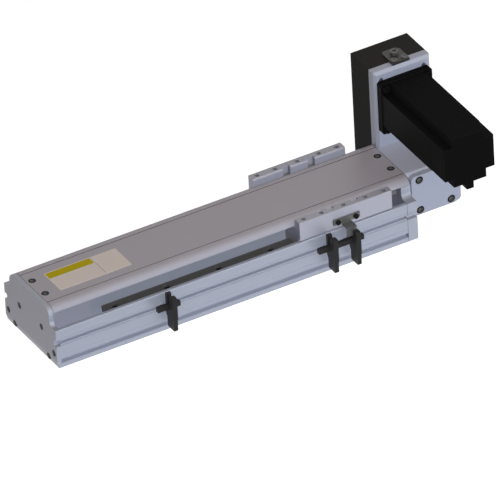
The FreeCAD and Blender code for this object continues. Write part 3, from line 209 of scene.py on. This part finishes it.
def paint_face_light(material, axis, tone, start=0.6, full=0.9):
    """Painted light and shade: another tone on the faces that look along an axis, standing in for how much
    light those faces catch.
    """
    tree = material.node_tree
    facing = compute(tree, "ABSOLUTE", axes_of(tree, "Normal")[axis])
    lay_tone(material, map_range(tree, facing, From_Min=start, From_Max=full), tone)


def paint_gap_shade(material, low, high, half, depth, seam, tone):
    """Paint shade into the gaps of a cover whose box is low to high: lower than its top by depth, within
    half of its middle line, and for the width of a seam at each end."""
    tree = material.node_tree
    axes = axes_of(tree, "Object")
    lower = compute(tree, "LESS_THAN", axes[Z], high[Z] - depth)
    inside = compute(tree, "LESS_THAN", compute(tree, "ABSOLUTE", axes[Y]), half)
    groove = compute(tree, "MULTIPLY", lower, inside)
    from_middle = compute(tree, "SUBTRACT", axes[X], (low[X] + high[X]) / 2)
    reach = (high[X] - low[X]) / 2 - seam
    ends = compute(tree, "GREATER_THAN", compute(tree, "ABSOLUTE", from_middle), reach)
    lay_tone(material, compute(tree, "MAXIMUM", groove, ends), tone)


def paint_joint_shadow(material, end, width, tone):
    """Paint a shadow into the joint that a long piece makes with the block at its +X end."""
    tree = material.node_tree
    lay_tone(material, compute(tree, "GREATER_THAN", axes_of(tree, "Object")[X], end - width), tone)


def paint_hole_shade(material, reach, tone):
    """Paint shade into the narrow holes of a piece, found by how much of the piece itself closes them in."""
    tree = material.node_tree
    opened = add(tree, "ShaderNodeAmbientOcclusion", Distance=reach)
    opened.samples = HOLE_SAMPLES
    opened.only_local = True
    closed = map_range(tree, opened.outputs["AO"], From_Min=HOLE_OPEN, From_Max=HOLE_CLOSED)
    lay_tone(material, closed, tone)


ALONG_X = (0.03, 1, 1)
# The body's side colour; also painted onto the end block's Y faces as painted light
SIDE_TONE = (0.392, 0.42, 0.513)
MILLED = {"scale": 1500, "bump": 0.1, "shade": 0.03, "wear_and_highlight": 0.12}
PRINTED = {"scale": 600, "bump": 0.03, "shade": 0.02, "specular": 0.1, "edge": 0.03, "wear_and_highlight": 0.0}

body_metal = surface("body_metal", SIDE_TONE, 0.25, 0.42, grain=ALONG_X, scale=900, shade=0.03, edge=0.25,
                     wear_and_highlight=0.12)
# Painted shadow in the joint where the base extrusion meets the drive block
paint_joint_shadow(body_metal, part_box("base_extrusion")[1][X], width=0.7 * MM, tone=(0.19, 0.2, 0.235))

end_metal = surface("end_metal", (0.355, 0.36, 0.415), 0.25, 0.42, scale=1500, bump=0.12, shade=0.03,
                    wear_and_highlight=0.12)
# Painted light: the end block's Y faces take the body's lit side colour
paint_face_light(end_metal, Y, SIDE_TONE)

cover_metal = surface("cover_metal", (0.393, 0.363, 0.398), 0.08, 0.4, grain=ALONG_X, scale=900, bump=0.01,
                      shade=0.012, edge=0.08, wear_and_highlight=0.0, vary=0.015)
# Painted light: a cooler tone on the cover's side faces and rounded shoulders
paint_face_light(cover_metal, Y, (0.36, 0.365, 0.43), start=0.2, full=0.95)
# Painted shade in the cover's crease and at its seams with the end plates
paint_gap_shade(cover_metal, *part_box("top_cover"), half=30 * MM, depth=0.02 * MM, seam=0.5 * MM,
            tone=(0.05, 0.046, 0.05))

carriage_metal = surface("carriage_metal", (0.42, 0.43, 0.515), 0.25, 0.42, **MILLED)
# Painted shade: the carriage's tops darker than its sides
paint_face_light(carriage_metal, Z, (0.365, 0.358, 0.398))
# Painted shade in the carriage's holes
paint_hole_shade(carriage_metal, reach=6 * MM, tone=(0.23, 0.23, 0.245))

mount_metal = surface("mount_metal", (0.40, 0.42, 0.50), 0.1, 0.42, **MILLED)
# Painted light: a cooler tone on the mount's Y faces
paint_face_light(mount_metal, Y, (0.38, 0.415, 0.53))
# Painted light: the drive housing gets a lighter copy of the mount metal, lifted against the shade the motor
# casts on it
housing_painted_light = surface("housing_painted_light", (0.465, 0.485, 0.57), 0.1, 0.42, **MILLED)

rail_metal = surface("rail_metal", (0.14, 0.14, 0.135), 0.4, 0.35, grain=ALONG_X, scale=1200)
block_metal = surface("block_metal", (0.20, 0.20, 0.21), 0.7, 0.35, grain=ALONG_X, scale=1200)
shaft_metal = surface("shaft_metal", (0.30, 0.30, 0.31), 0.6, 0.3, scale=1200)
screw_metal = surface("screw_metal", (0.12, 0.12, 0.117), 0.4, 0.4, scale=1500, edge=0.2)
screw_dark = surface("screw_dark", (0.012, 0.012, 0.0125), 0.2, 0.5, scale=1500, edge=0.2, specular=0.1)
bolt_metal = surface("bolt_metal", (0.115, 0.112, 0.108), 0.5, 0.36, scale=1500, edge=0.2)
flag_metal = surface("flag_metal", (0.125, 0.125, 0.125), 0.3, 0.38, grain=ALONG_X, scale=1200)
bracket_metal = surface("bracket_metal", (0.047, 0.045, 0.041), 0.45, 0.4, grain=ALONG_X, scale=1200)

cover_black = surface("cover_black", (0.0187, 0.0174, 0.0166), 0.0, 0.5, scale=1400, bump=0.25, depth=0.1,
                      specular=0.02, wear_and_highlight=0.4)
# Painted light: the black cover's top lighter than its sides
paint_face_light(cover_black, Z, (0.0325, 0.03, 0.0283))
motor_black = surface("motor_black", (0.0044, 0.0044, 0.0045), 0.0, 0.5, scale=900, bump=0.3, depth=0.1,
                      specular=0.016, wear_and_highlight=1.0)
# Painted light: the motor's X faces lighter than the rest
paint_face_light(motor_black, X, (0.016, 0.016, 0.0165))
sensor_black = surface("sensor_black", (0.014, 0.014, 0.014), 0.0, 0.5, scale=1800, bump=0.2, specular=0.2,
                       wear_and_highlight=0.5)
# Painted light: the sensors' X faces lighter than the rest
paint_face_light(sensor_black, X, (0.04, 0.04, 0.04))

cap_grey = surface("cap_grey", (0.38, 0.375, 0.40), 0.0, 0.5, scale=1800, bump=0.2, specular=0.3)
belt_black = surface("belt_black", (0.012, 0.012, 0.012), 0.0, 0.7, scale=1800, bump=0.3, specular=0.2)
bumper_grey = surface("bumper_grey", (0.17, 0.175, 0.185), 0.0, 0.6, scale=1500, bump=0.2, specular=0.3)
label_pale = surface("label_pale", (0.82, 0.735, 0.67), 0.0, 0.45, **PRINTED)
label_yellow = surface("label_yellow", (0.555, 0.445, 0.002), 0.0, 0.45, **PRINTED)
label_line = surface("label_line", (0.22, 0.19, 0.18), 0.0, 0.45, **PRINTED)

NODE_MATERIALS = {
    "body_aluminium": body_metal,
    "end_aluminium": end_metal,
    "cover_aluminium": cover_metal,
    "carriage_aluminium": carriage_metal,
    "mount_aluminium": mount_metal,
    "rail_steel": rail_metal,
    "block_steel": block_metal,
    "shaft_steel": shaft_metal,
    "screw_steel": screw_metal,
    "bracket_steel": bracket_metal,
    "black_cover": cover_black,
    "motor_black": motor_black,
    "sensor_black": sensor_black,
    "cap_plastic": cap_grey,
    "belt_rubber": belt_black,
    "bumper_rubber": bumper_grey,
}

# Nodes whose finish differs from the rest of their slot

NODE_FINISH = {
    "sensor_flag": flag_metal,
    "idler_axle": carriage_metal,
    "tension_bolt": bolt_metal,
    "tension_bracket_screws": bolt_metal,
    "motor_screws": motor_black,
    "drive_housing": housing_painted_light,
    "rail_screws": screw_dark,
    "flag_screws": screw_dark,
}


def finish_of(name):
    return NODE_FINISH.get(name, NODE_MATERIALS[SLOT_OF[name]])


def dress_nodes():
    for name, obj in nodes.items():
        for place in obj.material_slots:
            place.material = finish_of(name)


# Mesh helpers

WELD = 1e-6


def new_piece(name, bm, body, slot, *finishes):
    """Turn a bmesh into a piece that rides on a body."""
    bmesh.ops.recalc_face_normals(bm, faces=bm.faces)
    mesh = bpy.data.meshes.new(name)
    bm.to_mesh(mesh)
    bm.free()
    for finish in finishes:
        mesh.materials.append(finish)
    obj = bpy.data.objects.new(name, mesh)
    bpy.context.collection.objects.link(obj)
    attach(obj, body)
    return obj


def stand_in(name, ending, bm, *finishes):
    """Turn a bmesh into a piece that takes the place of a node."""
    piece = new_piece(name + ending, bm, BODY_OF[name], SLOT_OF[name], *finishes)
    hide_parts(name)


def solids_of(name):
    """The corner points of each separate solid in a node."""
    bm = bmesh.new()
    bm.from_mesh(nodes[name].data)
    bmesh.ops.remove_doubles(bm, verts=bm.verts, dist=WELD)
    bm.verts.ensure_lookup_table()
    seen = [False] * len(bm.verts)
    found = []
    for start in bm.verts:
        if seen[start.index]:
            continue
        seen[start.index] = True
        todo = [start]
        points = []
        while todo:
            vert = todo.pop()
            points.append(vert.co.copy())
            for edge in vert.link_edges:
                other = edge.other_vert(vert)
                if not seen[other.index]:
                    seen[other.index] = True
                    todo.append(other)
        found.append(points)
    bm.free()
    return found


def bridge(bm, lower, upper):
    """Faces between two rings of as many corners."""
    faces = []
    for i in range(len(lower)):
        j = (i + 1) % len(lower)
        faces.append(bm.faces.new((lower[i], lower[j], upper[j], upper[i])))
    return faces


# Socket head screws in place of the plain CAD ones, sized by shares of the head, its chamfer and the shank

ROUND = 36
FLATS = 6
CHAMFER = 0.12
SOFT_EDGE = 0.5
KNURL_FROM = 1.6
KNURL = 0.985
HEX_ACROSS = 0.54
SOCKET_DEPTH = 0.4
TIP_TAPER = 0.25
HEAD_FROM = 0.97
SHANK_UP_TO = 0.8
# Painted light on the screws: the socket takes the lighter finish as a painted highlight, and the head's
# top, rim and shank take the dark finish as the counterbore's painted shade
HIGHLIGHT_FACES = 0
SHADE_FACES = 1
HIGHLIGHT_BANDS = (0, 1)


def hex_radius(step, across):
    """Distance from the axis to the side of a hexagon, at one of ROUND places."""
    side = math.tau / FLATS
    turn = (step * math.tau / ROUND) % side - side / 2
    return across / math.cos(turn)


def socket_screw(bm, top, out, head_r, head, shank_r, length):
    """One cap screw: top is the middle of the head's face and out points away from it."""
    across = out.orthogonal().normalized()
    other = out.cross(across)
    edge = head * CHAMFER
    soft = edge * SOFT_EDGE
    tip = shank_r * TIP_TAPER

    def ring(depth, radius_at):
        verts = []
        for step in range(ROUND):
            turn = step * math.tau / ROUND
            reach = radius_at(step)
            spot = top - out * depth + (across * math.cos(turn) + other * math.sin(turn)) * reach
            verts.append(bm.verts.new(spot))
        return verts

    def plain(radius):
        return lambda step: radius

    def socket(step):
        return hex_radius(step, head_r * HEX_ACROSS)

    def knurled(step):
        return head_r * (KNURL if step % 2 else 1.0)

    rings = [
        ring(head * SOCKET_DEPTH, socket),
        ring(soft, socket),
        ring(0.0, lambda step: socket(step) + soft),
        ring(0.0, plain(head_r - edge)),
        ring(edge, plain(head_r)),
        ring(edge * KNURL_FROM, knurled),
        ring(head - soft, knurled),
        ring(head, plain(head_r - soft)),
        ring(head, plain(shank_r)),
        ring(head + length - tip, plain(shank_r)),
        ring(head + length, plain(shank_r - tip)),
    ]
    # Socket faces take the painted highlight, all others the painted shade
    bm.faces.new(rings[0]).material_index = HIGHLIGHT_FACES
    for band, (lower, upper) in enumerate(zip(rings, rings[1:])):
        for face in bridge(bm, lower, upper):
            face.material_index = HIGHLIGHT_FACES if band in HIGHLIGHT_BANDS else SHADE_FACES
    bm.faces.new(rings[-1]).material_index = SHADE_FACES


def measure_screw(points, axis):
    """Read a plain CAD screw: the face of its head, the way it points, and its sizes."""
    low = [min(p[i] for p in points) for i in (X, Y, Z)]
    high = [max(p[i] for p in points) for i in (X, Y, Z)]
    middle = Vector([(a + b) / 2 for a, b in zip(low, high)])

    def radius(point):
        away = point - middle
        away[axis] = 0.0
        return away.length

    head_r = max(radius(p) for p in points)
    wide = [p[axis] for p in points if radius(p) > head_r * HEAD_FROM]
    narrow = [p for p in points if radius(p) < head_r * SHANK_UP_TO]
    shank_r = max(radius(p) for p in narrow)
    up = abs(max(wide) - high[axis]) < abs(min(wide) - low[axis])
    out = Vector((0, 0, 0))
    out[axis] = 1.0 if up else -1.0
    top = middle.copy()
    top[axis] = high[axis] if up else low[axis]
    head = max(wide) - min(wide)
    length = high[axis] - low[axis] - head
    return top, out, head_r, head, shank_r, length


def dress_screws(name, axis):
    bm = bmesh.new()
    for points in solids_of(name):
        socket_screw(bm, *measure_screw(points, axis))
    # Screws in the screw steel get near-black painted shade on their heads and a lighter socket
    highlight_finish = finish_of(name)
    shade_finish = screw_dark if highlight_finish is screw_metal else highlight_finish
    stand_in(name, "_socket", bm, highlight_finish, shade_finish)


SCREW_AXES = {
    "end_screws": X,
    "tension_screws": X,
    "cover_screws": Z,
    "rail_screws": Z,
    "side_plate_bolts": Y,
    "mount_plate_screws": Y,
    "belt_cover_screws": Y,
    "tension_bracket_screws": Z,
    "tension_bolt": Z,
    "motor_screws": Y,
    "sensor_screws": Y,
    "ear_screws": Z,
    "block_screws": Z,
    "clamp_screws": Z,
    "flag_screws": Y,
}

# Slot sensors, deeper and slimmer than their plain solids, with softened edges, in millimetres

SENSORS = ("sensor_idle", "sensor_mid", "sensor_drive")
SENSOR_OUT = 3.3
SENSOR_FROM = 0.1
SENSOR_WIDE = 5.3
FORK_AT = 6.3
FORK_HALF = 2.2
FORK_FLOOR = 37.5
FORK_LEAD = 0.8
BAR_LOW = 32.0
BAR_HALF = 2.5
TIP_CHAMFER = 1.2
HEEL = 1.8
HEEL_RISE = 3.5
PLUG_INSET = 0.35
PLUG_SEAM = 0.25
PLUG_CHAMFER = 0.6
NECK_INSET = 0.9
NECK_HALF = 1.0
EDGE_ROUND = 0.3
EDGE_STEPS = 2


def prism(bm, outline, x0, x1):
    """An outline of Y and Z places, drawn out along X, with its edges softened."""
    near = [bm.verts.new((x0 * MM, y * MM, z * MM)) for y, z in outline]
    far = [bm.verts.new((x1 * MM, y * MM, z * MM)) for y, z in outline]
    faces = [bm.faces.new(near), bm.faces.new(far), *bridge(bm, near, far)]
    edges = list({edge for face in faces for edge in face.edges})
    bmesh.ops.bevel(bm, geom=edges, offset=EDGE_ROUND * MM, segments=EDGE_STEPS, profile=0.5, affect="EDGES")


def rectangle(y0, y1, z0, z1):
    return [(y0, z0), (y1, z0), (y1, z1), (y0, z1)]


def sensor_places(name):
    """Left side, inner face, outer face, foot and top of a sensor's housing."""
    low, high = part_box(name)
    left = (low[X] + high[X]) / 2 / MM + SENSOR_FROM
    return left, high[Y] / MM, low[Y] / MM - SENSOR_OUT, low[Z] / MM, high[Z] / MM


def make_sensor(name):
    left, inner, outer, foot, top = sensor_places(name)
    fork = inner - FORK_AT
    bm = bmesh.new()
    prism(bm, [
        (outer, foot), (inner - HEEL, foot), (inner, foot + HEEL_RISE),
        (inner, top), (fork + FORK_HALF, top), (fork + FORK_HALF, FORK_FLOOR),
        (fork - FORK_HALF, FORK_FLOOR), (fork - FORK_HALF, top - FORK_LEAD),
        (fork - FORK_HALF - FORK_LEAD, top), (outer + TIP_CHAMFER, top), (outer, top - TIP_CHAMFER),
    ], left, left + SENSOR_WIDE)
    low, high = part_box(name)
    prism(bm, rectangle(fork - BAR_HALF, fork + BAR_HALF, BAR_LOW, FORK_FLOOR), low[X] / MM, high[X] / MM)
    stand_in(name, "_housing", bm, sensor_black)


def make_plugs(name):
    """The plugs under all sensors, each with a neck that goes up into its sensor."""
    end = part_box(name)[0][Z] / MM
    bm = bmesh.new()
    for sensor in SENSORS:
        left, inner, outer, foot, _ = sensor_places(sensor)
        back = inner - HEEL
        front = outer + PLUG_INSET
        x0 = left + PLUG_INSET
        x1 = left + SENSOR_WIDE - PLUG_INSET
        prism(bm, [
            (front + PLUG_CHAMFER, end), (back - PLUG_CHAMFER, end), (back, end + PLUG_CHAMFER),
            (back, foot - PLUG_SEAM), (front, foot - PLUG_SEAM), (front, end + PLUG_CHAMFER),
        ], x0, x1)
        neck = rectangle(front + NECK_INSET, back - NECK_INSET, foot - NECK_HALF, foot + NECK_HALF)
        prism(bm, neck, x0 + NECK_INSET, x1 - NECK_INSET)
    stand_in(name, "_housing", bm, sensor_black)


# Blank sticker on the cover, in millimetres

STICKER_X = (-182.4, -99.6)
STICKER_Y = 17.4
STICKER_Z = 65.0
STICKER_CORNER = 1.5
STICKER_THICK = 0.12
CORNER_STEPS = 5
BAND_END = 0.63
BAND_DEPTH = 10.0
BAND_INSET = 1.2
BAND_CORNER = 0.4
BAND_RISE = 0.03
LINE_GAP = 1.2
LINE_WIDE = 0.4
LINE_CORNER = 0.1
LINE_RISE = 0.02
SHEET_GAP = 0.01
PALE, YELLOW, LINE = 0, 1, 2


def round_outline(x0, x1, y0, y1, corner):
    points = []
    for cx, cy, start in ((x1, y1, 0), (x0, y1, 1), (x0, y0, 2), (x1, y0, 3)):
        inner_x = cx - corner if cx == x1 else cx + corner
        inner_y = cy - corner if cy == y1 else cy + corner
        for step in range(CORNER_STEPS + 1):
            turn = (start + step / CORNER_STEPS) * math.pi / 2
            points.append((inner_x + corner * math.cos(turn), inner_y + corner * math.sin(turn)))
    return points


def thin_sheet(bm, outline, low, high, finish):
    """A sheet with a slightly drawn in upper edge."""
    middle_x = sum(p[0] for p in outline) / len(outline)
    middle_y = sum(p[1] for p in outline) / len(outline)
    lower = [bm.verts.new((x * MM, y * MM, low * MM)) for x, y in outline]
    draw = high - low
    upper = []
    for x, y in outline:
        dx = draw if x < middle_x else -draw
        dy = draw if y < middle_y else -draw
        upper.append(bm.verts.new(((x + dx) * MM, (y + dy) * MM, high * MM)))
    faces = [bm.faces.new(lower), bm.faces.new(upper), *bridge(bm, lower, upper)]
    for face in faces:
        face.material_index = finish


def make_sticker():
    """A pale sheet, with a yellow field and a thin line lying on it."""
    x0, x1 = STICKER_X
    y1 = STICKER_Y - BAND_INSET
    band_end = x0 + (x1 - x0) * BAND_END
    line_x = band_end + LINE_GAP
    top = STICKER_Z + STICKER_THICK
    sheet = round_outline(x0, x1, -STICKER_Y, STICKER_Y, STICKER_CORNER)
    band = round_outline(x0 + BAND_INSET, band_end, y1 - BAND_DEPTH, y1, BAND_CORNER)
    line = round_outline(line_x, line_x + LINE_WIDE, -y1, y1, LINE_CORNER)
    bm = bmesh.new()
    thin_sheet(bm, sheet, STICKER_Z + SHEET_GAP, top, PALE)
    thin_sheet(bm, band, top - SHEET_GAP, top + BAND_RISE, YELLOW)
    thin_sheet(bm, line, top - SHEET_GAP, top + LINE_RISE, LINE)
    new_piece("blank_sticker", bm, "frame", "cover_aluminium", label_pale, label_yellow, label_line)


# Stage, in metres and watts

FLOOR_SIZE = 12.0
FLOOR_LEVEL = -0.0005
FLOOR_GLOW = 0.85
FLOOR_TONE = 0.5
FLOOR_ROUGHNESS = 0.9
WORLD_LEVEL = 0.02
WHITE = (1, 1, 1, 1)
COOL = (0.86, 0.95, 1.0)
WARM = (1.0, 0.95, 0.93)
NEUTRAL = (1.0, 0.98, 0.99)
LAMP_AIM = Vector((0.05, 0, 0.05))


def seen_rays(tree):
    """One for camera, mirror and glass rays, nought for the rays that light the object."""
    rays = tree.nodes.new("ShaderNodeLightPath").outputs
    mirrored = compute(tree, "MAXIMUM", rays["Is Camera Ray"], rays["Is Glossy Ray"])
    return compute(tree, "MAXIMUM", mirrored, rays["Is Transmission Ray"])


def lay_floor():
    mesh = bpy.data.meshes.new("floor")
    half = FLOOR_SIZE / 2
    corners = [(-half, -half, 0), (half, -half, 0), (half, half, 0), (-half, half, 0)]
    mesh.from_pydata(corners, [], [(0, 1, 2, 3)])
    obj = bpy.data.objects.new("floor", mesh)
    bpy.context.collection.objects.link(obj)
    obj.location = (0, 0, FLOOR_LEVEL)
    material, tree, shader = new_material("floor")
    shader.inputs["Base Color"].default_value = (FLOOR_TONE, FLOOR_TONE, FLOOR_TONE, 1)
    shader.inputs["Roughness"].default_value = FLOOR_ROUGHNESS
    shader.inputs["Specular IOR Level"].default_value = 0.0
    shader.inputs["Emission Color"].default_value = WHITE
    glow = map_range(tree, seen_rays(tree), To_Max=FLOOR_GLOW)
    feed(tree, glow, shader.inputs["Emission Strength"])
    mesh.materials.append(material)


def light_world():
    world = bpy.data.worlds.new("world")
    bpy.context.scene.world = world
    world.use_nodes = True
    tree = world.node_tree
    background = tree.nodes["Background"]
    background.inputs["Color"].default_value = WHITE
    level = map_range(tree, seen_rays(tree), To_Min=WORLD_LEVEL, To_Max=1.0)
    feed(tree, level, background.inputs["Strength"])


def area_light(name, location, size, power, colour, shadow):
    """A square lamp that looks at the object, and that mirrors show only if it casts shadows."""
    data = bpy.data.lights.new(name, "AREA")
    data.shape = "SQUARE"
    data.size = size
    data.energy = power
    data.color = colour
    data.use_shadow = shadow
    obj = bpy.data.objects.new(name, data)
    bpy.context.collection.objects.link(obj)
    obj.location = location
    obj.rotation_euler = (LAMP_AIM - Vector(location)).to_track_quat("-Z", "Y").to_euler()
    obj.visible_glossy = shadow


# The scene

bpy.context.scene.view_settings.view_transform = "Standard"
dress_nodes()
for screws, screw_axis in SCREW_AXES.items():
    dress_screws(screws, screw_axis)
for sensor_name in SENSORS:
    make_sensor(sensor_name)
make_plugs("sensor_plugs")
make_sticker()
place_camera()
lay_floor()
light_world()
area_light("key", (0.7, -2.2, 0.8), size=1.6, power=4.5, colour=COOL, shadow=True)
area_light("low_fill", (0.2, -2.4, 0.25), size=1.2, power=18.0, colour=COOL, shadow=False)
area_light("high_fill", (0.4, -1.5, 1.7), size=1.2, power=30.0, colour=WARM, shadow=False)
area_light("left_fill", (-2.0, -0.8, 0.9), size=1.2, power=6.5, colour=NEUTRAL, shadow=False)
